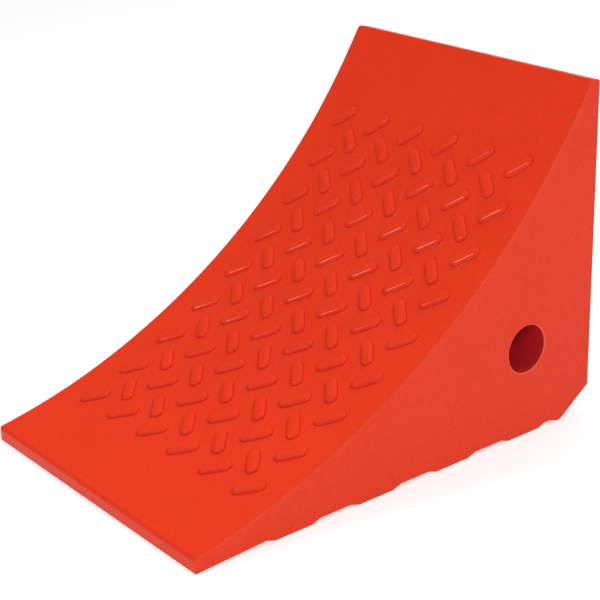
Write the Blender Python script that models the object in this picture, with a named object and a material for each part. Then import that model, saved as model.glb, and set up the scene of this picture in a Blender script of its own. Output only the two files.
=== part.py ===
"""Wheel chock: a solid polyurethane wedge with a curved, tread-patterned tyre face.

The real chock is one casting. Its moulded zones are separate solids here, each in its own
object: the wedge, the patterned field of the tyre face, and the cleats under the base.
Frame: +X from the toe to the tall heel, +Y across, +Z up. The origin is on the ground, at the
middle of the chock's length and width. All sizes are in metres.
"""

import math

import bmesh
import bpy
from mathutils import Matrix, Vector

MM = 0.001

# Overall size
LENGTH = 287 * MM
WIDTH = 202 * MM
HEIGHT = 203 * MM

# Side outline of the wedge
TYRE_RADIUS = 420 * MM
TOE_HEIGHT = 8.4 * MM
TOE_ROUND = 3 * MM
CREST_WIDTH = 6 * MM
CREST_FALL = 1.2 * MM
HEEL_BEVEL_LENGTH = 23 * MM
HEEL_BEVEL_HEIGHT = 16 * MM
TOE_RAMP_LENGTH = 44 * MM
MOULD_EDGE_ROUND = 7 * MM
ROUND_THINS_BELOW = 4 * MM
HEEL_ROUND_SHARE = 0.4

# Rope hole, straight through from side to side
ROPE_HOLE_DIAMETER = 29 * MM
ROPE_HOLE_FROM_HEEL = 53 * MM
ROPE_HOLE_ABOVE_GROUND = 54 * MM

# Raised bars of the tyre face
BAR_PITCH = 30 * MM
BAR_LENGTH = 19 * MM
BAR_WIDTH = 7.5 * MM
BAR_HEIGHT = 2 * MM
BAR_SHOULDER_HEIGHT = 1.2 * MM
BAR_SHOULDER_INSET = 0.4 * MM
BAR_TOP_INSET = 1.7 * MM
BAR_ROOT_DEPTH = 1 * MM
BAR_TURN = math.radians(45)
TOE_TO_FIRST_BARS = 52.5 * MM
LAST_BARS_TO_CREST = 45 * MM
SIDE_TO_BARS = 20 * MM
BARS_TOWARD_OPEN_SIDE = 4 * MM

# Slab that carries the bars, let into the wedge
FIELD_THICKNESS = 5 * MM
FIELD_BORDER = 12 * MM

# Cleats under the base
CLEAT_HEIGHT = 2 * MM
CLEAT_FOOT_WIDTH = 24 * MM
CLEAT_FLANK_WIDTH = 6 * MM
CLEAT_PITCH = 56.7 * MM
TOE_TO_FIRST_CLEAT = 63 * MM
CLEAT_TO_HEEL_CLEAT = 3.5 * MM
HEEL_CLEAT_FOOT_WIDTH = 3 * MM

# The gap left between solids that meet, and the narrowest edge left by a rounding
CLEARANCE = 0.3 * MM
LEAST_EDGE = 0.4 * MM

# Fineness of the round stretches
ARC_STEPS = 48
FIELD_STEPS = 36
ROUND_STEPS = 4
HOLE_STEPS = 48
BAR_END_STEPS = 4

TOE_X = -LENGTH / 2
HEEL_X = LENGTH / 2
CREST_X = HEEL_X - CREST_WIDTH
OPEN_SIDE_Y = -WIDTH / 2
MOULD_SIDE_Y = WIDTH / 2


def tyre_face_circle():
    """The centre of the tyre face's circle, and its angles at the toe and at the crest."""
    toe = Vector((TOE_X, TOE_HEIGHT))
    crest = Vector((CREST_X, HEIGHT))
    chord = crest - toe
    along = chord.normalized()
    across = Vector((-along.y, along.x))
    rise = math.sqrt(TYRE_RADIUS**2 - (chord.length / 2) ** 2)
    centre = (toe + crest) / 2 + across * rise
    from_centre = [point - centre for point in (toe, crest)]
    toe_angle, crest_angle = (math.atan2(ray.y, ray.x) for ray in from_centre)
    return centre, toe_angle, crest_angle


FACE_CENTRE, TOE_ANGLE, CREST_ANGLE = tyre_face_circle()
FACE_LENGTH = (CREST_ANGLE - TOE_ANGLE) * TYRE_RADIUS


def face_point(distance, depth=0.0):
    """A point (x, z) at a distance from the toe along the tyre face, and a depth below it."""
    angle = TOE_ANGLE + distance / TYRE_RADIUS
    radius = TYRE_RADIUS + depth
    return (
        FACE_CENTRE.x + radius * math.cos(angle),
        FACE_CENTRE.y + radius * math.sin(angle),
    )


def steps_between(start, end, count):
    """Evenly spaced values from start to end, both included."""
    return [start + (end - start) * step / count for step in range(count + 1)]


def make_material(name, colour, roughness):
    """A plain coloured plastic."""
    material = bpy.data.materials.new(name)
    material.use_nodes = True
    shader = material.node_tree.nodes["Principled BSDF"]
    shader.inputs["Base Color"].default_value = (*colour, 1.0)
    shader.inputs["Roughness"].default_value = roughness
    shader.inputs["Metallic"].default_value = 0.0
    return material


def make_object(name, mesh_maker, material):
    """A new object whose mesh is the bmesh that mesh_maker returns."""
    shape = mesh_maker()
    bmesh.ops.recalc_face_normals(shape, faces=shape.faces)
    mesh = bpy.data.meshes.new(name)
    shape.to_mesh(mesh)
    shape.free()
    obj = bpy.data.objects.new(name, mesh)
    bpy.context.scene.collection.objects.link(obj)
    if material:
        mesh.materials.append(material)
    mesh.shade_smooth()
    mesh.set_sharp_from_angle(angle=math.radians(30))
    return obj


def make_cutter(name, mesh_maker):
    """A helper that shapes another object and isn't a piece of the chock itself."""
    cutter = make_object(name, mesh_maker, None)
    cutter.hide_render = True
    cutter.display_type = "WIRE"
    return cutter


def shape_with(obj, operation, cutter):
    """Cuts the cutter out of the object, or joins it to the object."""
    boolean = obj.modifiers.new(operation.title(), "BOOLEAN")
    boolean.operation = operation
    boolean.object = cutter
    boolean.solver = "EXACT"


def join_outlines(sections):
    """A closed solid through sections, each a y and an outline of (x, z) points."""
    shape = bmesh.new()
    rings = [[shape.verts.new((x, y, z)) for x, z in outline] for y, outline in sections]
    shape.faces.new(rings[0])
    shape.faces.new(rings[-1])
    join_rings(shape, rings)
    return shape


def join_rings(shape, rings):
    """Bands of four-sided faces between each ring of corners and the next."""
    count = len(rings[0])
    for ring, next_ring in zip(rings, rings[1:]):
        for index in range(count):
            following = (index + 1) % count
            shape.faces.new(
                (ring[index], ring[following], next_ring[following], next_ring[index])
            )


def extrude_outline(outline, low_y, high_y):
    """A closed prism from an outline of (x, z) points, running from low_y to high_y."""
    return join_outlines([(low_y, outline), (high_y, outline)])


def heel_bevel_x(height):
    """Where the bevel under the heel is, at a height above the ground."""
    return HEEL_X - HEEL_BEVEL_LENGTH * (1 - height / HEEL_BEVEL_HEIGHT)


def depth_at(height, inset):
    """How deep the rounding goes at a height: less toward the toe, where the wedge is thin."""
    return inset * height / (height + ROUND_THINS_BELOW)


def toe_round(inset):
    """The rounded top edge of the toe, from its upright face to the tyre face."""
    radius = max(TOE_ROUND - inset, LEAST_EDGE)
    lean = TOE_ANGLE + math.pi / 2
    end_turn = lean + math.pi / 2
    distance = (inset + radius * (1 + math.cos(end_turn))) / math.cos(lean)
    end_z = face_point(distance, inset)[1]
    centre_x = TOE_X + inset + radius
    centre_z = end_z - radius * math.sin(end_turn)
    return [
        (centre_x + radius * math.cos(turn), centre_z + radius * math.sin(turn))
        for turn in steps_between(math.pi, end_turn, ROUND_STEPS)
    ]


def crest_distance(inset):
    """How far along the inset tyre face the crest is, kept clear of the heel's back."""
    radius = TYRE_RADIUS + inset
    drop = FACE_CENTRE.y - (HEIGHT - inset)
    x = FACE_CENTRE.x + math.sqrt(radius**2 - drop**2)
    x = min(x, HEEL_X - HEEL_ROUND_SHARE * inset - LEAST_EDGE)
    angle = -math.acos((x - FACE_CENTRE.x) / radius)
    return (angle - TOE_ANGLE) * TYRE_RADIUS


def wedge_outline(inset):
    """The wedge's side outline, drawn in by an inset that runs out toward the base."""
    toe_inset = depth_at(TOE_HEIGHT, inset)
    back_x = HEEL_X - HEEL_ROUND_SHARE * inset
    distances = steps_between(3 * TOE_ROUND, crest_distance(inset), ARC_STEPS)
    face = [face_point(d, depth_at(face_point(d)[1], inset)) for d in distances]
    crest_z = face[-1][1]
    return [
        (TOE_X + toe_inset, CLEAT_HEIGHT * toe_inset / TOE_RAMP_LENGTH),
        *toe_round(toe_inset),
        *face,
        (back_x, crest_z - CREST_FALL),
        (back_x, HEEL_BEVEL_HEIGHT),
        (heel_bevel_x(CLEAT_HEIGHT), CLEAT_HEIGHT),
        (TOE_X + TOE_RAMP_LENGTH, CLEAT_HEIGHT),
    ]


def wedge_shape():
    """The wedge: its outline run across the width, rounded on the side that lay in the mould."""
    sections = [(OPEN_SIDE_Y, 0.0)]
    for turn in steps_between(0.0, math.pi / 2, ROUND_STEPS):
        y = MOULD_SIDE_Y - MOULD_EDGE_ROUND * (1 - math.sin(turn))
        sections.append((y, MOULD_EDGE_ROUND * (1 - math.cos(turn))))
    return join_outlines([(y, wedge_outline(inset)) for y, inset in sections])


def rope_hole_shape():
    """A round bar through the whole width."""
    shape = bmesh.new()
    place = Matrix.Translation(
        (HEEL_X - ROPE_HOLE_FROM_HEEL, 0.0, ROPE_HOLE_ABOVE_GROUND)
    )
    bmesh.ops.create_cone(
        shape,
        cap_ends=True,
        segments=HOLE_STEPS,
        radius1=ROPE_HOLE_DIAMETER / 2,
        radius2=ROPE_HOLE_DIAMETER / 2,
        depth=2 * WIDTH,
        matrix=place @ Matrix.Rotation(math.pi / 2, 4, "X"),
    )
    return shape


COLUMNS = 1 + math.floor(
    (FACE_LENGTH - TOE_TO_FIRST_BARS - LAST_BARS_TO_CREST) / BAR_PITCH
)
ROWS = 1 + math.floor((WIDTH - 2 * SIDE_TO_BARS) / BAR_PITCH)
FIELD_START = TOE_TO_FIRST_BARS - FIELD_BORDER
FIELD_END = TOE_TO_FIRST_BARS + (COLUMNS - 1) * BAR_PITCH + FIELD_BORDER
FIELD_MIDDLE_Y = -BARS_TOWARD_OPEN_SIDE
FIELD_HALF_WIDTH = (ROWS - 1) * BAR_PITCH / 2 + FIELD_BORDER


def field_slab(grow, top_depth, bottom_depth):
    """A curved slab under the patterned field, larger all round by grow."""
    along = steps_between(FIELD_START - grow, FIELD_END + grow, FIELD_STEPS)
    top = [face_point(distance, top_depth) for distance in along]
    bottom = [face_point(distance, bottom_depth) for distance in reversed(along)]
    reach = FIELD_HALF_WIDTH + grow
    return extrude_outline(top + bottom, FIELD_MIDDLE_Y - reach, FIELD_MIDDLE_Y + reach)


def field_pocket_shape():
    """The pocket in the wedge that the patterned field sits in, open at the tyre face."""
    return field_slab(CLEARANCE, -FIELD_THICKNESS, FIELD_THICKNESS + CLEARANCE)


def field_shape():
    """The patterned field's slab, flush with the tyre face."""
    return field_slab(0.0, 0.0, FIELD_THICKNESS)


def pill_outline(inset):
    """A bar's outline in plan, a straight stretch with two half-round ends."""
    radius = BAR_WIDTH / 2 - inset
    reach = BAR_LENGTH / 2 - BAR_WIDTH / 2
    ends = [
        (reach, -math.pi / 2, math.pi / 2),
        (-reach, math.pi / 2, 3 * math.pi / 2),
    ]
    return [
        (middle + radius * math.cos(turn), radius * math.sin(turn))
        for middle, start, end in ends
        for turn in steps_between(start, end, BAR_END_STEPS)
    ]


def add_bar(shape, distance, y, turn):
    """One raised bar, standing square to the tyre face and turned in its plane."""
    x, z = face_point(distance)
    lean = TOE_ANGLE + distance / TYRE_RADIUS + math.pi / 2
    place = (
        Matrix.Translation((x, y, z))
        @ Matrix.Rotation(-lean, 4, "Y")
        @ Matrix.Rotation(turn, 4, "Z")
    )
    levels = [
        (-BAR_ROOT_DEPTH, 0.0),
        (BAR_SHOULDER_HEIGHT, BAR_SHOULDER_INSET),
        (BAR_HEIGHT, BAR_TOP_INSET),
    ]
    rings = [
        [shape.verts.new(place @ Vector((px, py, height))) for px, py in pill_outline(inset)]
        for height, inset in levels
    ]
    shape.faces.new(rings[0])
    shape.faces.new(rings[-1])
    join_rings(shape, rings)


def bars_shape():
    """All the bars: a square lattice, with the other diagonal's bars in its gaps."""
    shape = bmesh.new()
    for turn, columns, rows in (
        (-BAR_TURN, COLUMNS, ROWS),
        (BAR_TURN, COLUMNS - 1, ROWS - 1),
    ):
        first = TOE_TO_FIRST_BARS + (COLUMNS - columns) * BAR_PITCH / 2
        for column in range(columns):
            for row in range(rows):
                y = FIELD_MIDDLE_Y + (row - (rows - 1) / 2) * BAR_PITCH
                add_bar(shape, first + column * BAR_PITCH, y, turn)
    return shape


def cleat_outline(middle):
    """A cleat's cross-section: a flat foot on the ground between two sloping flanks."""
    top = CLEAT_HEIGHT - CLEARANCE
    half_foot = CLEAT_FOOT_WIDTH / 2
    half_top = half_foot + CLEAT_FLANK_WIDTH * top / CLEAT_HEIGHT
    return [
        (middle - half_foot, 0.0),
        (middle + half_foot, 0.0),
        (middle + half_top, top),
        (middle - half_top, top),
    ]


def heel_cleat_outline():
    """The last cleat's cross-section, cut off by the heel bevel."""
    top = CLEAT_HEIGHT - CLEARANCE
    back = heel_bevel_x(0.0)
    front = back - HEEL_CLEAT_FOOT_WIDTH
    return [
        (front, 0.0),
        (back, 0.0),
        (heel_bevel_x(top), top),
        (front - CLEAT_FLANK_WIDTH * top / CLEAT_HEIGHT, top),
    ]


def cleat_middles():
    """Where the cleats are along the base, as many as fit ahead of the heel's cleat."""
    heel_cleat_front = (
        heel_bevel_x(0.0) - HEEL_CLEAT_FOOT_WIDTH - CLEAT_FLANK_WIDTH
    )
    reach = CLEAT_FOOT_WIDTH / 2 + CLEAT_FLANK_WIDTH
    first = TOE_X + TOE_TO_FIRST_CLEAT
    last = heel_cleat_front - CLEAT_TO_HEEL_CLEAT - reach
    count = 1 + math.floor((last - first) / CLEAT_PITCH)
    return [first + index * CLEAT_PITCH for index in range(count)]


def across_width(outline):
    """A maker of the prism that the outline sweeps across the chock's whole width."""
    return lambda: extrude_outline(outline, OPEN_SIDE_Y, MOULD_SIDE_Y)


def build_wedge(material):
    wedge = make_object("wedge_body", wedge_shape, material)
    hole = make_cutter("rope_hole_cutter", rope_hole_shape)
    pocket = make_cutter("field_pocket_cutter", field_pocket_shape)
    shape_with(wedge, "DIFFERENCE", hole)
    shape_with(wedge, "DIFFERENCE", pocket)


def build_tread(material):
    field = make_object("tread_field", field_shape, material)
    bars = make_cutter("tread_bars_adder", bars_shape)
    shape_with(field, "UNION", bars)


def build_cleats(material):
    for number, middle in enumerate(cleat_middles(), start=1):
        name = f"traction_cleat_{number}"
        make_object(name, across_width(cleat_outline(middle)), material)
    make_object("heel_cleat", across_width(heel_cleat_outline()), material)


def main():
    for obj in list(bpy.data.objects):
        bpy.data.objects.remove(obj)
    build_wedge(make_material("cast_urethane", (0.79, 0.06, 0.02), 0.5))
    build_tread(make_material("cast_urethane_tread", (0.72, 0.045, 0.02), 0.45))
    build_cleats(make_material("cast_urethane_base", (0.68, 0.04, 0.02), 0.55))


main()
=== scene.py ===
# %% [markdown]
# # A cast polyurethane wheel chock
#
# A wheel chock is a wedge that stops a parked lorry or caravan from rolling. This one is a single
# casting: liquid polyurethane is poured into an open mould that lies on its side, and it cures
# to a tough orange-red rubber. The tyre presses on a curved face with a pattern of raised bars,
# cleats under the base grip the ground, and a rope goes through a hole near the heel.
#
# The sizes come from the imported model, which this script loads first as a fixed frame. Each piece
# here stands for one or more of its solids and is made fine enough for a close look.

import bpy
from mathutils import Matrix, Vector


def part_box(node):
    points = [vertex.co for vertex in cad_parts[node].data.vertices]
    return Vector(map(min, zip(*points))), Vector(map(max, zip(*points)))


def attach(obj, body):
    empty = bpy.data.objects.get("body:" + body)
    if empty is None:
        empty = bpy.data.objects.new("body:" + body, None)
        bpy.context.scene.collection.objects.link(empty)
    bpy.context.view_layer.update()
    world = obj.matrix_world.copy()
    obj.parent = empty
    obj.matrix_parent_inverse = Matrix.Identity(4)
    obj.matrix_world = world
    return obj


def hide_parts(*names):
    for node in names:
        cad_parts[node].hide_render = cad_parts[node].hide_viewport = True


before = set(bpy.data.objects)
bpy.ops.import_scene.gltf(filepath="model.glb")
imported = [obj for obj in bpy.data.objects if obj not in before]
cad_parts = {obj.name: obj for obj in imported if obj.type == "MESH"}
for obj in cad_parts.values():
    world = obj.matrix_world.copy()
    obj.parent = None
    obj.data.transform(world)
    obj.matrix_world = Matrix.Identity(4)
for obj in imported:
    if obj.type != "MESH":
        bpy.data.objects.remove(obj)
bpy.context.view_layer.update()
print("nodes:", sorted(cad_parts))

# %% Modules and units
import math

import bmesh
import bpy
from mathutils import Matrix, Quaternion, Vector

MM = 0.001

# %% [markdown]
# ## Sizes
#
# The wedge's own box gives its length, width and height, so nothing here can drift away from the
# solids. The shape between those limits follows a few values in millimetres, the same ones that
# the solids were built from: the radius of the tyre that the face fits, the thickness of the toe,
# the flat crest and the bevel under the heel.

# %% Overall sizes, from the wedge's box
low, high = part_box("wedge_body")
TOE_X, HEEL_X = low.x, high.x
OPEN_SIDE_Y, MOULD_SIDE_Y = low.y, high.y
HEIGHT = high.z
print("length, width and height in mm:", [round(side / MM, 1) for side in high - low])

# %% Sizes of the side outline
TYRE_RADIUS = 420 * MM
TOE_HEIGHT = 8.4 * MM
TOE_ROUND = 3 * MM
CREST_WIDTH = 6 * MM
CREST_FALL = 1.2 * MM
HEEL_BEVEL_LENGTH = 23 * MM
HEEL_BEVEL_HEIGHT = 16 * MM
TOE_RAMP_LENGTH = 44 * MM
CLEAT_HEIGHT = 2 * MM
bevel_angle = math.degrees(math.atan2(HEEL_BEVEL_HEIGHT, HEEL_BEVEL_LENGTH))
print(f"the heel's bevel rises at {bevel_angle:.1f} degrees")

# %% The circle that the tyre face follows
def tyre_face_circle():
    """The centre of the face's circle as (x, z), and its angles at the toe and at the crest."""
    toe = Vector((TOE_X, TOE_HEIGHT))
    crest = Vector((HEEL_X - CREST_WIDTH, HEIGHT))
    chord = crest - toe
    along = chord.normalized()
    across = Vector((-along.y, along.x))
    rise = math.sqrt(TYRE_RADIUS**2 - (chord.length / 2) ** 2)
    centre = (toe + crest) / 2 + across * rise
    toe_angle, crest_angle = (
        math.atan2(point.y - centre.y, point.x - centre.x) for point in (toe, crest)
    )
    return centre, toe_angle, crest_angle


FACE_CENTRE, TOE_ANGLE, CREST_ANGLE = tyre_face_circle()
FACE_LENGTH = (CREST_ANGLE - TOE_ANGLE) * TYRE_RADIUS
print(f"the tyre face is {FACE_LENGTH / MM:.1f} mm long along its curve")

# %% Small helpers for outlines
def face_point(distance, depth=0.0):
    """A point (x, z) at a distance from the toe along the tyre face, and a depth below it."""
    angle = TOE_ANGLE + distance / TYRE_RADIUS
    radius = TYRE_RADIUS + depth
    return Vector(
        (FACE_CENTRE.x + radius * math.cos(angle), FACE_CENTRE.y + radius * math.sin(angle))
    )


def steps_between(start, end, count):
    """Evenly spaced values from start to end, both included."""
    return [start + (end - start) * step / count for step in range(count + 1)]


def ease(share):
    """A share from 0 to 1 that starts and ends gently."""
    share = min(max(share, 0.0), 1.0)
    return share * share * (3 - 2 * share)


# %% [markdown]
# ## One material for the whole casting
#
# The real chock is cast polyurethane elastomer, coloured right through with pigment. Its skin
# copies the mould: a fine grain with a soft sheen. A plain colour with one roughness would look
# like flat plastic, and four things prevent that. The pigment is not spread quite evenly, so the
# colour drifts over a few centimetres. The skin is speckled by its grain. The lip's edge and the
# rope hole's rim are painted a little paler, a painted highlight where a small round edge catches
# the light. And in a recess, such as the rope hole or the crease around a bar, the colour is
# painted a deeper red, a painted shade for the light that bounces from rubber to rubber.
#
# Two attributes on the mesh, `flash` and `recess`, say where the painted highlight
# and the painted shade go, so the material can follow the shape without knowing anything about it.

# %% Colours
def linear(hex_colour):
    """An sRGB hex colour as the linear red, green, blue and alpha that a shader takes."""
    channels = [int(hex_colour[start : start + 2], 16) / 255 for start in (1, 3, 5)]
    return (
        *(c / 12.92 if c <= 0.04045 else ((c + 0.055) / 1.055) ** 2.4 for c in channels),
        1.0,
    )


PIGMENT = linear("#F54124")
PIGMENT_DEEP = linear("#E33A1E")
# Painted highlight: the paler red painted on the lip's edge and the rope hole's rim.
EDGE_HIGHLIGHT_COLOUR = linear("#F07A5E")
# Painted shade: the deeper red painted inside the rope hole and at the foot of each bar.
RECESS_SHADE_COLOUR = linear("#CC2630")
VOID_SHADE = linear("#7A1A12")
print("the pigment as linear red, green and blue:", [round(c, 3) for c in PIGMENT[:3]])


# %% One helper for every node tree
def add_node(tree, kind, inputs=(), **settings):
    """Adds a node, applies its settings, and links or sets its inputs."""
    node = tree.nodes.new(kind)
    for name, value in settings.items():
        setattr(node, name, value)
    for key, value in dict(inputs).items():
        if isinstance(value, bpy.types.NodeSocket):
            tree.links.new(value, node.inputs[key])
        else:
            node.inputs[key].default_value = value
    return node


# %% [markdown]
# The grain of a real casting is about a tenth of a millimetre, which is too fine to show here, so
# it is drawn at 1.1 mm. A slower wave of about 25 mm stands for the slight unevenness that every
# hand-poured rubber surface has; it only bends the soft reflections. A few pinholes are left by
# air bubbles that touched the mould: cells of a Voronoi pattern are a set distance apart, and a
# random value for each cell keeps only some of them.
#
# Polyurethane has an IOR of about 1.5. The specular level is matched, and ends up well under
# the usual 0.5, because this casting's skin mirrors far less than a polished one.

# %% Scales and finish of the skin
PIGMENT_DRIFT = 45 * MM
GRAIN = 1.1 * MM
GRAIN_DEPTH = 0.012 * MM
GRAIN_IN_COLOUR = 3.0
SKIN_WAVE = 25 * MM
SKIN_WAVE_DEPTH = 0.25 * MM
PINHOLE_SPACING = 21 * MM
PINHOLE_RADIUS = 0.55 * MM
PINHOLE_DEPTH = 0.4 * MM
PINHOLES_KEPT = 0.12
SMOOTHEST, ROUGHEST = 0.13, 0.2
POLYURETHANE_IOR = 1.5
SPECULAR_LEVEL = 0.1

# Most of a noise texture's values lie between these two.
NOISE_LOW, NOISE_HIGH = 0.3, 0.7

print(f"{(MOULD_SIDE_Y - OPEN_SIDE_Y) / GRAIN:.0f} grains across the width")
print(f"a pinhole in one cell of {1 / PINHOLES_KEPT:.0f}")


# %% Pinholes
def pinhole_spots(tree, place):
    """1 inside a pinhole and 0 outside it: round spots in some of the cells."""
    cells = add_node(
        tree, "ShaderNodeTexVoronoi", {"Vector": place, "Scale": 1 / PINHOLE_SPACING}
    )
    kept = add_node(
        tree,
        "ShaderNodeMath",
        {0: cells.outputs["Color"], 1: PINHOLES_KEPT},
        operation="LESS_THAN",
    )
    spot = add_node(
        tree,
        "ShaderNodeMapRange",
        {
            "Value": cells.outputs["Distance"],
            "From Min": 0.5 * PINHOLE_RADIUS / PINHOLE_SPACING,
            "From Max": PINHOLE_RADIUS / PINHOLE_SPACING,
            "To Min": 1.0,
            "To Max": 0.0,
        },
    )
    return add_node(
        tree,
        "ShaderNodeMath",
        {0: spot.outputs["Result"], 1: kept.outputs["Value"]},
        operation="MULTIPLY",
    ).outputs["Value"]


# %% The colour, one layer over another
def layered_colour(tree, place, grain, pinholes):
    """Speckled, drifting pigment, with a painted highlight on edges, painted shade in recesses,
    dark in pinholes.
    """
    drift = add_node(
        tree, "ShaderNodeTexNoise", {"Vector": place, "Scale": 1 / PIGMENT_DRIFT, "Detail": 3.0}
    )
    speckled = add_node(
        tree,
        "ShaderNodeMath",
        {0: grain, 1: GRAIN_IN_COLOUR, 2: drift.outputs["Fac"]},
        operation="MULTIPLY_ADD",
    )
    drift_share = add_node(
        tree,
        "ShaderNodeMapRange",
        {
            "Value": speckled.outputs["Value"],
            "From Min": NOISE_LOW * (1 + GRAIN_IN_COLOUR),
            "From Max": NOISE_HIGH * (1 + GRAIN_IN_COLOUR),
        },
    )
    flash = add_node(tree, "ShaderNodeAttribute", attribute_name="flash")
    recess = add_node(tree, "ShaderNodeAttribute", attribute_name="recess")
    layers = (
        (drift_share.outputs["Result"], PIGMENT),
        # Paler: a painted highlight on the lip's edge and the rope hole's rim.
        (flash.outputs["Fac"], EDGE_HIGHLIGHT_COLOUR),
        # Deeper red: painted shade in the rope hole and at the foot of each bar.
        (recess.outputs["Fac"], RECESS_SHADE_COLOUR),
        (pinholes, VOID_SHADE),
    )
    colour = PIGMENT_DEEP
    for share, shade in layers:
        colour = add_node(
            tree, "ShaderNodeMix", {0: share, 6: colour, 7: shade}, data_type="RGBA"
        ).outputs[2]
    return colour


# %% The skin's relief
def skin_relief(tree, place, grain, pinholes):
    """The surface's direction, bent by the slow wave, then by the grain and the pinholes."""
    wave = add_node(
        tree, "ShaderNodeTexNoise", {"Vector": place, "Scale": 1 / SKIN_WAVE, "Detail": 1.0}
    )
    layers = (
        (wave.outputs["Fac"], SKIN_WAVE_DEPTH, False),
        (grain, GRAIN_DEPTH, False),
        (pinholes, PINHOLE_DEPTH, True),
    )
    below = {}
    for height, depth, sunken in layers:
        bump = add_node(
            tree,
            "ShaderNodeBump",
            {"Height": height, "Strength": 1.0, "Distance": depth, **below},
            invert=sunken,
        )
        below = {"Normal": bump.outputs["Normal"]}
    return below["Normal"]


# %% Cast polyurethane
def cast_polyurethane():
    """Polyurethane as it comes from an open mould: fine-grained, with a soft sheen."""
    material = bpy.data.materials.new("polyurethane_cast_orange_red")
    material.use_nodes = True
    tree = material.node_tree
    tree.nodes.clear()
    place = add_node(tree, "ShaderNodeTexCoord").outputs["Object"]
    grain = add_node(
        tree, "ShaderNodeTexNoise", {"Vector": place, "Scale": 1 / GRAIN, "Detail": 2.0}
    ).outputs["Fac"]
    pinholes = pinhole_spots(tree, place)
    roughness = add_node(
        tree, "ShaderNodeMapRange", {"Value": grain, "To Min": SMOOTHEST, "To Max": ROUGHEST}
    )
    shader = add_node(
        tree,
        "ShaderNodeBsdfPrincipled",
        {
            "Base Color": layered_colour(tree, place, grain, pinholes),
            "Roughness": roughness.outputs["Result"],
            "IOR": POLYURETHANE_IOR,
            "Specular IOR Level": SPECULAR_LEVEL,
            "Normal": skin_relief(tree, place, grain, pinholes),
        },
    )
    add_node(tree, "ShaderNodeOutputMaterial", {"Surface": shader.outputs["BSDF"]})
    return material


polyurethane = cast_polyurethane()
print("material:", polyurethane.name)

# %% [markdown]
# ## Finished pieces
#
# Every piece ends the same way: its mesh becomes an object at the origin, smooth with crisp
# edges, with the cast rubber on it. Weighted normals keep the large flat faces flat up to their
# small round edges; without them each flat face would look slightly pillowed.

# %% Finish a mesh
CRISP_ANGLE = math.radians(35)


def finish_mesh(name, mesh):
    """An object at the origin that shows the mesh as cast rubber."""
    mesh.name = name
    mesh.materials.clear()
    mesh.materials.append(polyurethane)
    mesh.shade_smooth()
    mesh.set_sharp_from_angle(angle=CRISP_ANGLE)
    piece = bpy.data.objects.new(name, mesh)
    bpy.context.scene.collection.objects.link(piece)
    weighted = piece.modifiers.new("Flat faces stay flat", "WEIGHTED_NORMAL")
    weighted.mode = "FACE_AREA"
    weighted.weight = 100
    weighted.keep_sharp = True
    settle(piece)
    return piece


def settle(piece):
    """Turns an object's modifiers into plain mesh."""
    graph = bpy.context.evaluated_depsgraph_get()
    mesh = bpy.data.meshes.new_from_object(piece.evaluated_get(graph), depsgraph=graph)
    mesh.name = piece.name
    piece.modifiers.clear()
    piece.data = mesh


# %% [markdown]
# ## The wedge
#
# The wedge is a side outline carried across its width. Near each side the outline shrinks a
# little from one section to the next, and that draws the edges: a large soft round on the side
# that lay in the bottom of the mould, and on the open side the tiny raised lip that a liquid
# leaves where it creeps up the mould's wall. So one function draws the outline for any inset,
# and lists of sections do the rest. A Boolean for the hole and a Bevel for the edges could make
# the same wedge, but they would leave uneven faces along the curve; this way gives clean rings.
#
# The inset isn't the same all round. Toward the toe, the crest and the heel the wedge is thin, so
# the mould's round edge is smaller there.

# %% How far each stretch of the outline is drawn in
TOE_BLEND = 60 * MM
CREST_BLEND = 90 * MM

# The mould's round edge at each place, as a share of its size along the tyre face
MOULD_SHARES = {"toe": 0.62, "face": 1.0, "crest": 0.8, "back": 0.4, "bevel": 0.12}


class Inset:
    """How far the toe, the tyre face, the crest, the heel's back and its bevel are drawn in."""

    def __init__(self, toe, face, crest, back, bevel):
        self.toe, self.face, self.crest, self.back, self.bevel = toe, face, crest, back, bevel

    def at(self, distance):
        """The depth below the tyre face, at a distance from the toe."""
        from_toe = ease(distance / TOE_BLEND)
        to_crest = ease((distance - FACE_LENGTH + CREST_BLEND) / CREST_BLEND)
        depth = self.toe + (self.face - self.toe) * from_toe
        return depth + (self.crest - depth) * to_crest


def even_inset(inset):
    """The same inset all along the outline, apart from the base."""
    return Inset(inset, inset, inset, inset, inset)


def mould_inset(inset):
    """The inset of the mould's round edge, smaller where the wedge is thin."""
    return Inset(**{place: share * inset for place, share in MOULD_SHARES.items()})


# %% The corners of the outline
FACE_STEPS = 120
TOE_STEPS = 8
FACE_START = 3 * TOE_ROUND
LEAST_TOE_ROUND = 0.6 * MM


def crest_corner(inset):
    """Where the drawn-in tyre face meets the flat crest."""
    radius = TYRE_RADIUS + inset.crest
    drop = FACE_CENTRE.y - (HEIGHT - inset.crest)
    return Vector((FACE_CENTRE.x + math.sqrt(radius**2 - drop**2), HEIGHT - inset.crest))


def toe_curve(inset):
    """The rounded top edge of the toe, from its upright front to the tyre face."""
    radius = max(TOE_ROUND - inset.toe, LEAST_TOE_ROUND)
    lean = TOE_ANGLE + math.pi / 2
    last_turn = lean + math.pi / 2
    distance = (inset.toe + radius * (1 + math.cos(last_turn))) / math.cos(lean)
    last_z = face_point(distance, inset.toe).y
    centre = Vector((TOE_X + inset.toe + radius, last_z - radius * math.sin(last_turn)))
    return [
        centre + radius * Vector((math.cos(turn), math.sin(turn)))
        for turn in steps_between(math.pi, last_turn, TOE_STEPS)
    ]


def face_curve(inset):
    """The tyre face, from behind the toe's round to just before the crest."""
    crest = crest_corner(inset)
    angle = math.atan2(crest.y - FACE_CENTRE.y, crest.x - FACE_CENTRE.x)
    crest_distance = (angle - TOE_ANGLE) * TYRE_RADIUS
    distances = steps_between(FACE_START, crest_distance, FACE_STEPS)[:-1]
    return [face_point(distance, inset.at(distance)) for distance in distances]


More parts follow.
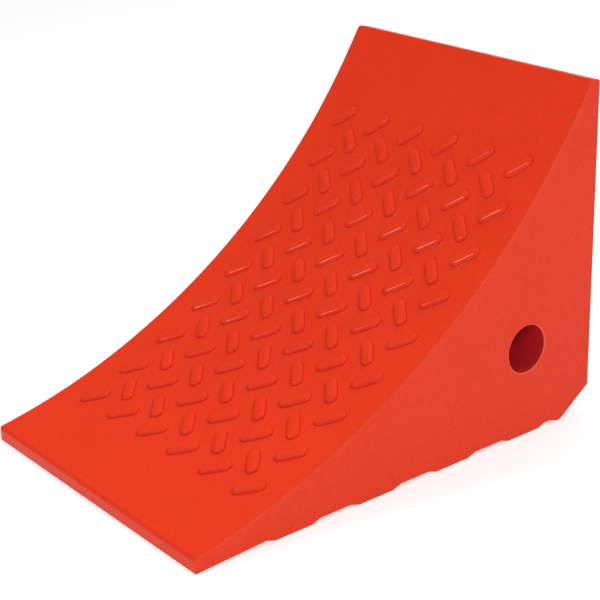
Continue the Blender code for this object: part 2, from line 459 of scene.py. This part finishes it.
def heel_corners(inset):
    """The crest's back edge and the two corners of the bevel under the heel."""
    crest = crest_corner(inset)
    back_x = HEEL_X - inset.back
    fall = CREST_FALL * (back_x - crest.x) / CREST_WIDTH
    slant = math.hypot(HEEL_BEVEL_LENGTH, HEEL_BEVEL_HEIGHT)
    rise = (slant * inset.bevel - HEEL_BEVEL_HEIGHT * inset.back) / HEEL_BEVEL_LENGTH
    run = HEEL_BEVEL_LENGTH * (HEEL_BEVEL_HEIGHT - CLEAT_HEIGHT) + slant * inset.bevel
    return [
        Vector((back_x, crest.y - fall)),
        Vector((back_x, HEEL_BEVEL_HEIGHT + rise)),
        Vector((HEEL_X - run / HEEL_BEVEL_HEIGHT, CLEAT_HEIGHT)),
    ]


def base_corners(inset):
    """Where the base starts to slope down to the toe, and the toe's bottom edge."""
    ramp = CLEAT_HEIGHT * inset.toe / TOE_RAMP_LENGTH
    return [
        Vector((TOE_X + TOE_RAMP_LENGTH, CLEAT_HEIGHT)),
        Vector((TOE_X + inset.toe, ramp)),
    ]


# %% Round a corner of an outline
CORNER_STEPS = 4
MOST_OF_AN_EDGE = 0.4


def rounded(before, corner, after, radius):
    """The points of an arc that takes the place of a corner between two straight edges."""
    back, onward = before - corner, after - corner
    half_angle = back.angle(onward) / 2
    room = MOST_OF_AN_EDGE * min(back.length, onward.length)
    reach = min(radius / math.tan(half_angle), room)
    radius = reach * math.tan(half_angle)
    start, end = corner + reach * back.normalized(), corner + reach * onward.normalized()
    middle_ray = (back.normalized() + onward.normalized()).normalized()
    centre = corner + middle_ray * radius / math.sin(half_angle)
    ray, last_ray = start - centre, end - centre
    swing = ray.angle_signed(last_ray)
    return [
        centre + Matrix.Rotation(-swing * share, 2) @ ray
        for share in steps_between(0.0, 1.0, CORNER_STEPS)
    ]


# %% The whole side outline
CREST_FRONT_ROUND = 0.9 * MM
CREST_BACK_ROUND = 0.8 * MM
HEEL_ROUND = 1.4 * MM
BEVEL_FOOT_ROUND = 0.7 * MM
TOE_FOOT_ROUND = 0.5 * MM


def side_outline(inset):
    """The wedge's outline as (x, z) points, the same number of them for every inset."""
    toe = toe_curve(inset)
    face = face_curve(inset)
    crest = crest_corner(inset)
    crest_back, bevel_top, bevel_foot = heel_corners(inset)
    ramp_top, toe_foot = base_corners(inset)
    return [
        *toe,
        *face,
        *rounded(face[-1], crest, crest_back, CREST_FRONT_ROUND),
        *rounded(crest, crest_back, bevel_top, CREST_BACK_ROUND),
        *rounded(crest_back, bevel_top, bevel_foot, HEEL_ROUND),
        *rounded(bevel_top, bevel_foot, ramp_top, BEVEL_FOOT_ROUND),
        ramp_top,
        *rounded(ramp_top, toe_foot, toe[0], TOE_FOOT_ROUND),
    ]


print(f"the side outline has {len(side_outline(even_inset(0.0)))} points")

# %% [markdown]
# The sections below go from the open side to the mould side. On the open side a flat rim comes
# first, then the hollow slope up to the lip, then the lip's round outer edge. The lip runs round
# the tyre face, the toe and the heel, and fades out at the base, where the cleats start. The rope
# hole has the same lip at that end, because the rubber also crept up the pin that formed the
# hole, and a plain round edge at the other end.

# %% Sections across the width
LIP_HEIGHT = 0.25 * MM
LIP_SLOPE = 0.9 * MM
LIP_ROUND = 0.4 * MM
LIP_BAND = 1.2 * MM
RIM = 1 * MM
MOULD_ROUND = 7 * MM
MOULD_HOLE_ROUND = 1.6 * MM
SLOPE_STEPS = 4
LIP_STEPS = 4
MOULD_STEPS = 12
FLAT_SIDE_Y = OPEN_SIDE_Y + LIP_HEIGHT


def lip_sections():
    """The open side's (y, inset) pairs, from the flat rim over the lip to its outer edge."""
    sections = [(FLAT_SIDE_Y, LIP_ROUND + LIP_SLOPE + RIM)]
    for share in steps_between(0.0, 1.0, SLOPE_STEPS)[:-1]:
        inset = LIP_ROUND + LIP_SLOPE * (1 - share)
        sections.append((FLAT_SIDE_Y - LIP_HEIGHT * share**2, inset))
    for turn in steps_between(0.0, math.pi / 2, LIP_STEPS):
        y = OPEN_SIDE_Y + LIP_ROUND * (1 - math.cos(turn))
        sections.append((y, LIP_ROUND * (1 - math.sin(turn))))
    return sections


def mould_sections(radius, steps):
    """The mould side's (y, inset) pairs around an edge of that radius."""
    return [
        (MOULD_SIDE_Y - radius * (1 - math.sin(turn)), radius * (1 - math.cos(turn)))
        for turn in steps_between(0.0, math.pi / 2, steps)
    ]


section_count = len(lip_sections()) + 1 + len(mould_sections(MOULD_ROUND, MOULD_STEPS))
print(f"{section_count} sections across the width")


# %% Rings of corners from the sections
def ring_at(y, outline):
    """An outline's points, set at one y."""
    return [Vector((x, y, z)) for x, z in outline]


def lip_shares(count):
    """How much of the lip each outline point has: none on the base, all elsewhere."""
    fading = steps_between(1.0, 0.0, CORNER_STEPS)
    base = [*fading, 0.0, *reversed(fading)]
    return [1.0] * (count - len(base)) + base


def outline_rings():
    """The outline's rings from the open side to the mould side."""
    outer = ring_at(FLAT_SIDE_Y, side_outline(even_inset(0.0)))
    shares = lip_shares(len(outer))
    rings = []
    for y, inset in lip_sections():
        ring = ring_at(y, side_outline(even_inset(inset)))
        rings.append([o.lerp(p, share) for o, p, share in zip(outer, ring, shares)])
    rings.append(ring_at(OPEN_SIDE_Y + LIP_BAND, side_outline(even_inset(0.0))))
    for y, inset in mould_sections(MOULD_ROUND, MOULD_STEPS):
        rings.append(ring_at(y, side_outline(mould_inset(inset))))
    return rings


# %% The rope hole's rings
ROPE_HOLE_DIAMETER = 29 * MM
ROPE_HOLE_FROM_HEEL = 53 * MM
ROPE_HOLE_ABOVE_GROUND = 54 * MM
HOLE_STEPS = 96


def hole_rings():
    """Circles around the rope hole's axis, from the open side to the mould side."""
    centre = Vector((HEEL_X - ROPE_HOLE_FROM_HEEL, ROPE_HOLE_ABOVE_GROUND))
    turns = steps_between(0.0, 2 * math.pi, HOLE_STEPS)[:-1]
    rays = [Vector((math.cos(turn), math.sin(turn))) for turn in turns]
    sections = [
        *lip_sections(),
        (OPEN_SIDE_Y + LIP_BAND, 0.0),
        *mould_sections(MOULD_HOLE_ROUND, LIP_STEPS),
    ]
    return [
        ring_at(y, [centre + (ROPE_HOLE_DIAMETER / 2 + inset) * ray for ray in rays])
        for y, inset in sections
    ]


print(f"the rope hole has {len(hole_rings())} rings of {HOLE_STEPS} corners")


# %% Build the wedge
SAME_POINT = 0.001 * MM
# How much painted highlight the lip's edge and the rope hole's rim get.
EDGE_HIGHLIGHT_SHARE = 0.05
HOLE_RIM_HIGHLIGHT_SHARE = 0.7


def add_rings(shape, rings):
    """Rings of corners joined by bands of four-sided faces."""
    corners = [[shape.verts.new(point) for point in ring] for ring in rings]
    for ring, next_ring in zip(corners, corners[1:]):
        for index in range(len(ring)):
            shape.faces.new(
                (ring[index - 1], ring[index], next_ring[index], next_ring[index - 1])
            )
    return corners


def mark(rings, layer, value):
    """Sets an attribute on every corner of some rings."""
    for ring in rings:
        for corner in ring:
            corner[layer] = value


def cap_between(shape, outer_ring, inner_ring):
    """A flat side face between the outline's ring and the hole's ring."""
    edges = [
        shape.edges.get((ring[index - 1], ring[index]))
        for ring in (outer_ring, inner_ring)
        for index in range(len(ring))
    ]
    bmesh.ops.triangle_fill(shape, edges=edges, use_beauty=True)


def mesh_of(shape):
    """The shape as a closed mesh with its faces pointing out."""
    bmesh.ops.remove_doubles(shape, verts=shape.verts, dist=SAME_POINT)
    bmesh.ops.recalc_face_normals(shape, faces=shape.faces)
    loose = sum(1 for edge in shape.edges if len(edge.link_faces) != 2)
    print(f"edges without two faces: {loose}")
    mesh = bpy.data.meshes.new("piece")
    shape.to_mesh(mesh)
    shape.free()
    return mesh


def wedge_mesh():
    """The wedge as one closed mesh, with the rope hole through it."""
    shape = bmesh.new()
    flash = shape.verts.layers.float.new("flash")
    recess = shape.verts.layers.float.new("recess")
    outline, hole = add_rings(shape, outline_rings()), add_rings(shape, hole_rings())
    lip_end = len(lip_sections())
    # The lip's round edge and the rope hole's rim get a painted highlight.
    for rings, share in ((outline, EDGE_HIGHLIGHT_SHARE), (hole, HOLE_RIM_HIGHLIGHT_SHARE)):
        mark(rings[1 + SLOPE_STEPS : lip_end], flash, share)
    # The rope hole's wall gets painted shade. Its last ring is marked too, so the painted shade
    # fades out across the flat mould side.
    mark(hole[lip_end:], recess, 1.0)
    cap_between(shape, outline[0], hole[0])
    cap_between(shape, outline[-1], hole[-1])
    return mesh_of(shape)


casting = finish_mesh("chock_casting", wedge_mesh())
print(f"{casting.name}: {len(casting.data.polygons)} faces")

# %% [markdown]
# ## The raised bars
#
# The tyre face has a pattern like checker plate: short bars with round ends, in a square lattice,
# and in its gaps the same bars turned the other way. Array and Curve modifiers could lay them out,
# but a pattern that follows a rule is a job for Geometry Nodes, where each size is one input. One
# bar is modelled as a mesh, lying flat. The tree puts a copy on each point of two grids, and then
# wraps the flat pattern onto the circle of the tyre face, as a label is wrapped onto a bottle.
# Wrapping after the copying bends each bar to the curve as well.
#
# A bar's section is a little fuller than half an ellipse, so its top is crowned and its flanks are
# steep. Where a flank meets the face there is a small hollow, because the mould's edge there was
# slightly round.

# %% One bar
BAR_LENGTH = 19 * MM
BAR_WIDTH = 7.5 * MM
BAR_HEIGHT = 2 * MM
BAR_FILLET = 0.35 * MM
BAR_ROOT = 0.6 * MM
BAR_FOOT = 0.01 * MM
BAR_END_STEPS = 8
FILLET_STEPS = 3
CROWN_STEPS = 8
CROWN_FULLNESS = 0.85
# How much painted shade the foot of each bar gets.
FOOT_SHADE_SHARE = 0.9
FLANK_SLOPE = math.radians(70)
FIRST_CROWN_TURN = math.radians(12)
LAST_CROWN_TURN = math.radians(84)


def bar_profile():
    """The bar's side as (inset, height) pairs, from below the surface to the crowned top."""
    fillet = [
        (-BAR_FILLET * (1 - math.sin(turn)), BAR_FILLET * (1 - math.cos(turn)))
        for turn in steps_between(0.0, FLANK_SLOPE, FILLET_STEPS)
    ]
    crown = [
        (
            BAR_WIDTH / 2 * (1 - math.cos(turn) ** CROWN_FULLNESS),
            BAR_HEIGHT * math.sin(turn) ** CROWN_FULLNESS,
        )
        for turn in steps_between(FIRST_CROWN_TURN, LAST_CROWN_TURN, CROWN_STEPS)
    ]
    return [(-BAR_FILLET, -BAR_ROOT), (-BAR_FILLET, BAR_FOOT), *fillet[1:], *crown]


def pill_outline(inset):
    """A bar's outline in plan: a straight stretch with two half-round ends."""
    radius = BAR_WIDTH / 2 - inset
    reach = (BAR_LENGTH - BAR_WIDTH) / 2
    quarter = math.pi / 2
    return [
        (middle + radius * math.cos(turn), radius * math.sin(turn))
        for middle, first, last in ((reach, -quarter, quarter), (-reach, quarter, 3 * quarter))
        for turn in steps_between(first, last, BAR_END_STEPS)
    ]


def bar_mesh():
    """One closed bar, lying flat along X with its foot just below the surface."""
    shape = bmesh.new()
    recess = shape.verts.layers.float.new("recess")
    rings = add_rings(
        shape,
        [
            [Vector((x, y, height)) for x, y in pill_outline(inset)]
            for inset, height in bar_profile()
        ],
    )
    # The bar's foot and the hollow beside it get painted shade.
    mark(rings[: 2 + FILLET_STEPS], recess, FOOT_SHADE_SHARE)
    shape.faces.new(rings[0])
    shape.faces.new(rings[-1])
    return mesh_of(shape)


bar = bpy.data.objects.new("tread_bar", bar_mesh())
print(f"one bar has {len(bar.data.polygons)} faces")

# %% [markdown]
# A tree needs an interface before it can be used. The next helper makes the tree and its named
# inputs, and the one after it gives them values, evaluates the tree and keeps the result as a
# plain mesh. A modifier knows its inputs by the sockets' identifiers, not by their names.

# %% Make a tree and use it
SOCKET_TYPES = {
    float: "NodeSocketFloat",
    int: "NodeSocketInt",
    bpy.types.Object: "NodeSocketObject",
    bpy.types.Material: "NodeSocketMaterial",
}


def new_tree(name, values):
    """A Geometry Nodes tree with an input for each named value, and its input node."""
    tree = bpy.data.node_groups.new(name, "GeometryNodeTree")
    for label, value in values.items():
        kind = SOCKET_TYPES[type(value)]
        tree.interface.new_socket(name=label, in_out="INPUT", socket_type=kind)
    tree.interface.new_socket(
        name="Geometry", in_out="OUTPUT", socket_type="NodeSocketGeometry"
    )
    return tree, add_node(tree, "NodeGroupInput").outputs


def mesh_from_tree(tree, values):
    """The mesh that the tree makes with these values."""
    holder = bpy.data.objects.new(tree.name, bpy.data.meshes.new(tree.name))
    bpy.context.scene.collection.objects.link(holder)
    modifier = holder.modifiers.new(tree.name, "NODES")
    modifier.node_group = tree
    for socket in tree.interface.items_tree:
        if socket.in_out == "INPUT":
            modifier[socket.identifier] = values[socket.name]
    graph = bpy.context.evaluated_depsgraph_get()
    mesh = bpy.data.meshes.new_from_object(holder.evaluated_get(graph), depsgraph=graph)
    bpy.data.objects.remove(holder)
    return mesh


# %% The pattern's tree: a grid of bars
def lattice_of_bars(tree, given, spare, turn_sign):
    """Bars on a grid, in the flat pattern. A second grid leaves out a row and a column."""
    counts, spans = [], []
    for label in ("Columns", "Rows"):
        count = add_node(
            tree, "ShaderNodeMath", {0: given[label], 1: float(spare)}, operation="SUBTRACT"
        ).outputs["Value"]
        gaps = add_node(
            tree, "ShaderNodeMath", {0: count, 1: 1.0}, operation="SUBTRACT"
        ).outputs["Value"]
        span = add_node(
            tree, "ShaderNodeMath", {0: gaps, 1: given["Pitch"]}, operation="MULTIPLY"
        ).outputs["Value"]
        counts.append(count)
        spans.append(span)
    grid = add_node(
        tree,
        "GeometryNodeMeshGrid",
        {"Size X": spans[0], "Size Y": spans[1], "Vertices X": counts[0], "Vertices Y": counts[1]},
    )
    turn = add_node(
        tree, "ShaderNodeMath", {0: given["Turn"], 1: turn_sign}, operation="MULTIPLY"
    )
    turned = add_node(tree, "ShaderNodeCombineXYZ", {"Z": turn.outputs["Value"]})
    bar_shape = add_node(tree, "GeometryNodeObjectInfo", {"Object": given["Bar"]})
    return add_node(
        tree,
        "GeometryNodeInstanceOnPoints",
        {
            "Points": grid.outputs["Mesh"],
            "Instance": bar_shape.outputs["Geometry"],
            "Rotation": turned.outputs["Vector"],
        },
    ).outputs["Instances"]


# %% The pattern's tree: from flat to curved
def wrap_onto_face(tree, given):
    """The place on the tyre face of a point (distance, y, height) of the flat pattern."""
    place = add_node(tree, "GeometryNodeInputPosition").outputs["Position"]
    flat = add_node(tree, "ShaderNodeSeparateXYZ", {"Vector": place}).outputs
    swept = add_node(
        tree, "ShaderNodeMath", {0: flat["X"], 1: given["Face Radius"]}, operation="DIVIDE"
    )
    angle = add_node(
        tree,
        "ShaderNodeMath",
        {0: swept.outputs["Value"], 1: given["Middle Angle"]},
        operation="ADD",
    )
    radius = add_node(
        tree, "ShaderNodeMath", {0: given["Face Radius"], 1: flat["Z"]}, operation="SUBTRACT"
    )
    y = add_node(tree, "ShaderNodeMath", {0: flat["Y"], 1: given["Middle Y"]}, operation="ADD")
    wrapped = {"Y": y.outputs["Value"]}
    for axis, wave in (("X", "COSINE"), ("Z", "SINE")):
        share = add_node(tree, "ShaderNodeMath", {0: angle.outputs["Value"]}, operation=wave)
        wrapped[axis] = add_node(
            tree,
            "ShaderNodeMath",
            {0: radius.outputs["Value"], 1: share.outputs["Value"], 2: given[f"Centre {axis}"]},
            operation="MULTIPLY_ADD",
        ).outputs["Value"]
    return add_node(tree, "ShaderNodeCombineXYZ", wrapped).outputs["Vector"]


# %% The pattern's tree: both grids together
def tread_pattern_tree(values):
    """Two lattices of bars, wrapped onto the tyre face."""
    tree, given = new_tree("tread_pattern", values)
    both = add_node(tree, "GeometryNodeJoinGeometry")
    for spare, turn_sign in ((0, -1.0), (1, 1.0)):
        bars = lattice_of_bars(tree, given, spare, turn_sign)
        tree.links.new(bars, both.inputs["Geometry"])
    plain = add_node(
        tree, "GeometryNodeRealizeInstances", {"Geometry": both.outputs["Geometry"]}
    )
    wrapped = add_node(
        tree,
        "GeometryNodeSetPosition",
        {"Geometry": plain.outputs["Geometry"], "Position": wrap_onto_face(tree, given)},
    )
    coated = add_node(
        tree,
        "GeometryNodeSetMaterial",
        {"Geometry": wrapped.outputs["Geometry"], "Material": given["Material"]},
    )
    add_node(tree, "NodeGroupOutput", {"Geometry": coated.outputs["Geometry"]})
    return tree


# %% Lay out the bars
BAR_PITCH = 30 * MM
BAR_TURN = math.radians(45)
TOE_TO_FIRST_BARS = 52.5 * MM
BARS_TOWARD_OPEN_SIDE = 4 * MM
COLUMNS = 9
ROWS = 6

pattern_middle = TOE_TO_FIRST_BARS + (COLUMNS - 1) * BAR_PITCH / 2
pattern = {
    "Bar": bar,
    "Columns": COLUMNS,
    "Rows": ROWS,
    "Pitch": BAR_PITCH,
    "Turn": BAR_TURN,
    "Face Radius": TYRE_RADIUS,
    "Middle Angle": TOE_ANGLE + pattern_middle / TYRE_RADIUS,
    "Middle Y": (OPEN_SIDE_Y + MOULD_SIDE_Y) / 2 - BARS_TOWARD_OPEN_SIDE,
    "Centre X": FACE_CENTRE.x,
    "Centre Z": FACE_CENTRE.y,
    "Material": polyurethane,
}
bars = finish_mesh("tread_bars", mesh_from_tree(tread_pattern_tree(pattern), pattern))
bpy.data.objects.remove(bar)
print(f"{bars.name}: {len(bars.data.polygons)} faces")

# %% [markdown]
# ## The cleats under the base
#
# Four broad ribs cross the base, with sloping flanks, and lift it two millimetres off the ground.
# Scaled cubes could stand for them, but not with rounded corners of an even size. Each is a
# trapezium carried straight across the width, so the tree draws that trapezium with curve nodes,
# rounds its corners, sweeps it along a line and repeats it at an even pitch. Their roots reach a
# little way up into the wedge. A narrower rib at the heel is cut by the bevel.

# %% The cleats' tree
CLEAT_ROOT = 1 * MM
CLEAT_CORNER_STEPS = 4


def cleats_tree(values):
    """Ribs of trapezium section, swept across the width and repeated along the base."""
    tree, given = new_tree("cleat_row", values)
    section = add_node(
        tree,
        "GeometryNodeCurvePrimitiveQuadrilateral",
        {
            "Height": given["Height"],
            "Bottom Width": given["Root Width"],
            "Top Width": given["Foot Width"],
            "Offset": 0.0,
        },
        mode="TRAPEZOID",
    )
    soft_section = add_node(
        tree,
        "GeometryNodeFilletCurve",
        {
            "Curve": section.outputs["Curve"],
            "Radius": given["Rounding"],
            "Count": CLEAT_CORNER_STEPS,
        },
        mode="POLY",
    )
    open_end, mould_end, first_place, step = (
        add_node(tree, "ShaderNodeCombineXYZ", parts).outputs["Vector"]
        for parts in (
            {"Y": given["First Y"]},
            {"Y": given["Last Y"]},
            {"X": given["First X"], "Z": given["Middle Z"]},
            {"X": given["Pitch"]},
        )
    )
    line = add_node(
        tree, "GeometryNodeCurvePrimitiveLine", {"Start": open_end, "End": mould_end}
    )
    rib = add_node(
        tree,
        "GeometryNodeCurveToMesh",
        {
            "Curve": line.outputs["Curve"],
            "Profile Curve": soft_section.outputs["Curve"],
            "Fill Caps": True,
        },
    )
    places = add_node(
        tree,
        "GeometryNodeMeshLine",
        {"Count": given["Count"], "Start Location": first_place, "Offset": step},
    )
    row = add_node(
        tree,
        "GeometryNodeInstanceOnPoints",
        {"Points": places.outputs["Mesh"], "Instance": rib.outputs["Mesh"]},
    )
    plain = add_node(
        tree, "GeometryNodeRealizeInstances", {"Geometry": row.outputs["Instances"]}
    )
    coated = add_node(
        tree,
        "GeometryNodeSetMaterial",
        {"Geometry": plain.outputs["Geometry"], "Material": given["Material"]},
    )
    add_node(tree, "NodeGroupOutput", {"Geometry": coated.outputs["Geometry"]})
    return tree


# %% Lay out the cleats
CLEAT_FOOT_WIDTH = 24 * MM
CLEAT_ROUNDING = 0.45 * MM
CLEAT_END_GAP = 1.2 * MM
FLUSH_GAP = 0.02 * MM

cleat_nodes = sorted(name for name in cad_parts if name.startswith("traction_cleat"))
cleat_boxes = [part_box(name) for name in cleat_nodes]
cleat_middles = [(box_low.x + box_high.x) / 2 for box_low, box_high in cleat_boxes]
top_width, _, solid_height = cleat_boxes[0][1] - cleat_boxes[0][0]
flank_run = (top_width - CLEAT_FOOT_WIDTH) / 2 / solid_height
root_height = CLEAT_HEIGHT + CLEAT_ROOT
cleat_row = {
    "Height": root_height,
    "Foot Width": CLEAT_FOOT_WIDTH,
    "Root Width": CLEAT_FOOT_WIDTH + 2 * flank_run * root_height,
    "Rounding": CLEAT_ROUNDING,
    "First Y": FLAT_SIDE_Y + FLUSH_GAP,
    "Last Y": MOULD_SIDE_Y - CLEAT_END_GAP,
    "First X": cleat_middles[0],
    "Middle Z": root_height / 2,
    "Pitch": cleat_middles[1] - cleat_middles[0],
    "Count": len(cleat_middles),
    "Material": polyurethane,
}
cleats = finish_mesh("traction_cleats", mesh_from_tree(cleats_tree(cleat_row), cleat_row))
print(f"{cleats.name}: {len(cleats.data.polygons)} faces, {cleat_row['Count']} ribs")

# %% The cleat at the heel
heel_low, heel_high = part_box("heel_cleat")


def heel_cleat_mesh():
    """The narrow rib whose back is the bevel under the heel."""
    slope = HEEL_BEVEL_HEIGHT / HEEL_BEVEL_LENGTH
    foot_back = HEEL_X - HEEL_BEVEL_LENGTH
    foot_front = heel_low.x + flank_run * (heel_high.z - heel_low.z)
    outline = [
        (foot_front, 0.0),
        (foot_back, 0.0),
        (foot_back + root_height / slope, root_height),
        (foot_front - flank_run * root_height, root_height),
    ]
    shape = bmesh.new()
    ends = (cleat_row["First Y"], cleat_row["Last Y"])
    for ring in add_rings(shape, [ring_at(y, outline) for y in ends]):
        shape.faces.new(ring)
    return mesh_of(shape)


heel_rib = finish_mesh("heel_rib", heel_cleat_mesh())
print(f"{heel_rib.name}: {len(heel_rib.data.polygons)} faces")

# %% [markdown]
# ## Join the pieces to the frame
#
# The chock has no moving parts, so every piece rides on its one body. Each piece says which
# solids it stands for.

# %% Ride and replace
stands_for = {
    casting: ["wedge_body"],
    bars: ["tread_field"],
    cleats: cleat_nodes,
    heel_rib: ["heel_cleat"],
}
for piece, nodes in stands_for.items():
    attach(piece, "root")
    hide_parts(*nodes)
    print(piece.name, "stands for", ", ".join(nodes))

# %% [markdown]
# ## Studio
#
# The chock stands on a plain pale floor that is softly lit from inside, like a light table, so the
# shadow stays faint and the lower edges get some light back. Three soft boxes do the rest. A small
# one off the toe draws a bright streak along the near flank of the bars. One beside the camera
# lights the open side. A large one over the heel fills in the tyre face.
#
# The plain Standard view keeps the strong orange-red as it is, where a filmic view would wash it
# out.

# %% Floor
FLOOR_SIZE = 60.0
FLOOR_GLOW = 0.58
FLOOR_ROUGHNESS = 0.9
FLOOR_SPECULAR_LEVEL = 0.1


def lit_acrylic():
    """Pale acrylic sheet with a sanded surface, which scatters light and is lit from inside."""
    material = bpy.data.materials.new("floor_acrylic_sanded_lit")
    material.use_nodes = True
    shader = material.node_tree.nodes["Principled BSDF"]
    shader.inputs["Base Color"].default_value = linear("#C4C4C4")
    shader.inputs["Roughness"].default_value = FLOOR_ROUGHNESS
    shader.inputs["Specular IOR Level"].default_value = FLOOR_SPECULAR_LEVEL
    shader.inputs["Emission Color"].default_value = linear("#FFFFFF")
    shader.inputs["Emission Strength"].default_value = FLOOR_GLOW
    return material


def floor_mesh():
    """One square face at the height of the ground."""
    shape = bmesh.new()
    bmesh.ops.create_grid(shape, x_segments=1, y_segments=1, size=FLOOR_SIZE / 2)
    mesh = bpy.data.meshes.new("studio_floor")
    shape.to_mesh(mesh)
    shape.free()
    mesh.materials.append(lit_acrylic())
    return mesh


floor = bpy.data.objects.new("studio_floor", floor_mesh())
bpy.context.scene.collection.objects.link(floor)
print(f"the floor is {FLOOR_SIZE:.0f} m square")

# %% World light
WORLD_STRENGTH = 0.1
world = bpy.data.worlds.new("studio_world")
world.use_nodes = True
backdrop = world.node_tree.nodes["Background"]
backdrop.inputs["Color"].default_value = linear("#FFFFFF")
backdrop.inputs["Strength"].default_value = WORLD_STRENGTH
bpy.context.scene.world = world
bpy.context.scene.view_settings.view_transform = "Standard"
print("view:", bpy.context.scene.view_settings.view_transform)


# %% Soft boxes
def aim(obj, azimuth, elevation, distance, target):
    """Puts an object on a sphere around a target and turns it to face the target."""
    back = Vector(
        (
            math.sin(azimuth) * math.cos(elevation),
            -math.cos(azimuth) * math.cos(elevation),
            math.sin(elevation),
        )
    )
    obj.location = target + back * distance
    obj.rotation_mode = "QUATERNION"
    obj.rotation_quaternion = back.to_track_quat("Z", "Y")


def soft_box(name, azimuth, elevation, distance, size, power):
    """A square area light that faces the chock. Angles are in degrees, and power is in watts."""
    light = bpy.data.lights.new(name, "AREA")
    light.energy = power
    light.size = size
    lamp = bpy.data.objects.new(name, light)
    bpy.context.scene.collection.objects.link(lamp)
    aim(lamp, math.radians(azimuth), math.radians(elevation), distance, middle)
    print(f"{name}: {power} W, {size} m wide, {distance} m away")
    return lamp


middle = Vector((0.0, 0.0, HEIGHT / 2))
soft_box("left_soft_box", azimuth=-114, elevation=40, distance=1.5, size=0.12, power=5.2)
soft_box("front_soft_box", azimuth=-30, elevation=32, distance=1.5, size=0.5, power=7.6)
overhead = soft_box("overhead_soft_box", azimuth=92, elevation=62, distance=2.2, size=2.4, power=47)

# A box this large would show as a second, broad streak on every other bar, so it isn't mirrored.
overhead.visible_glossy = False

# %% [markdown]
# ## Camera
#
# A long lens from almost a metre away looks down at the toe and the open side. The small roll and
# shift only settle the framing.

# %% Camera
CAMERA_AZIMUTH = math.radians(-37.87)
CAMERA_ELEVATION = math.radians(20.63)
CAMERA_ROLL = math.radians(1.64)
CAMERA_DISTANCE = 0.927
CAMERA_LENS_MM = 97.15
CAMERA_SHIFT = (0.0170, -0.0622)

camera_data = bpy.data.cameras.new("studio_camera")
camera_data.lens = CAMERA_LENS_MM
camera_data.shift_x, camera_data.shift_y = CAMERA_SHIFT
camera = bpy.data.objects.new("studio_camera", camera_data)
bpy.context.scene.collection.objects.link(camera)
aim(camera, CAMERA_AZIMUTH, CAMERA_ELEVATION, CAMERA_DISTANCE, middle)
camera.rotation_quaternion = camera.rotation_quaternion @ Quaternion((0, 0, 1), -CAMERA_ROLL)
bpy.context.scene.camera = camera
print("the camera is at", [round(value, 3) for value in camera.location])
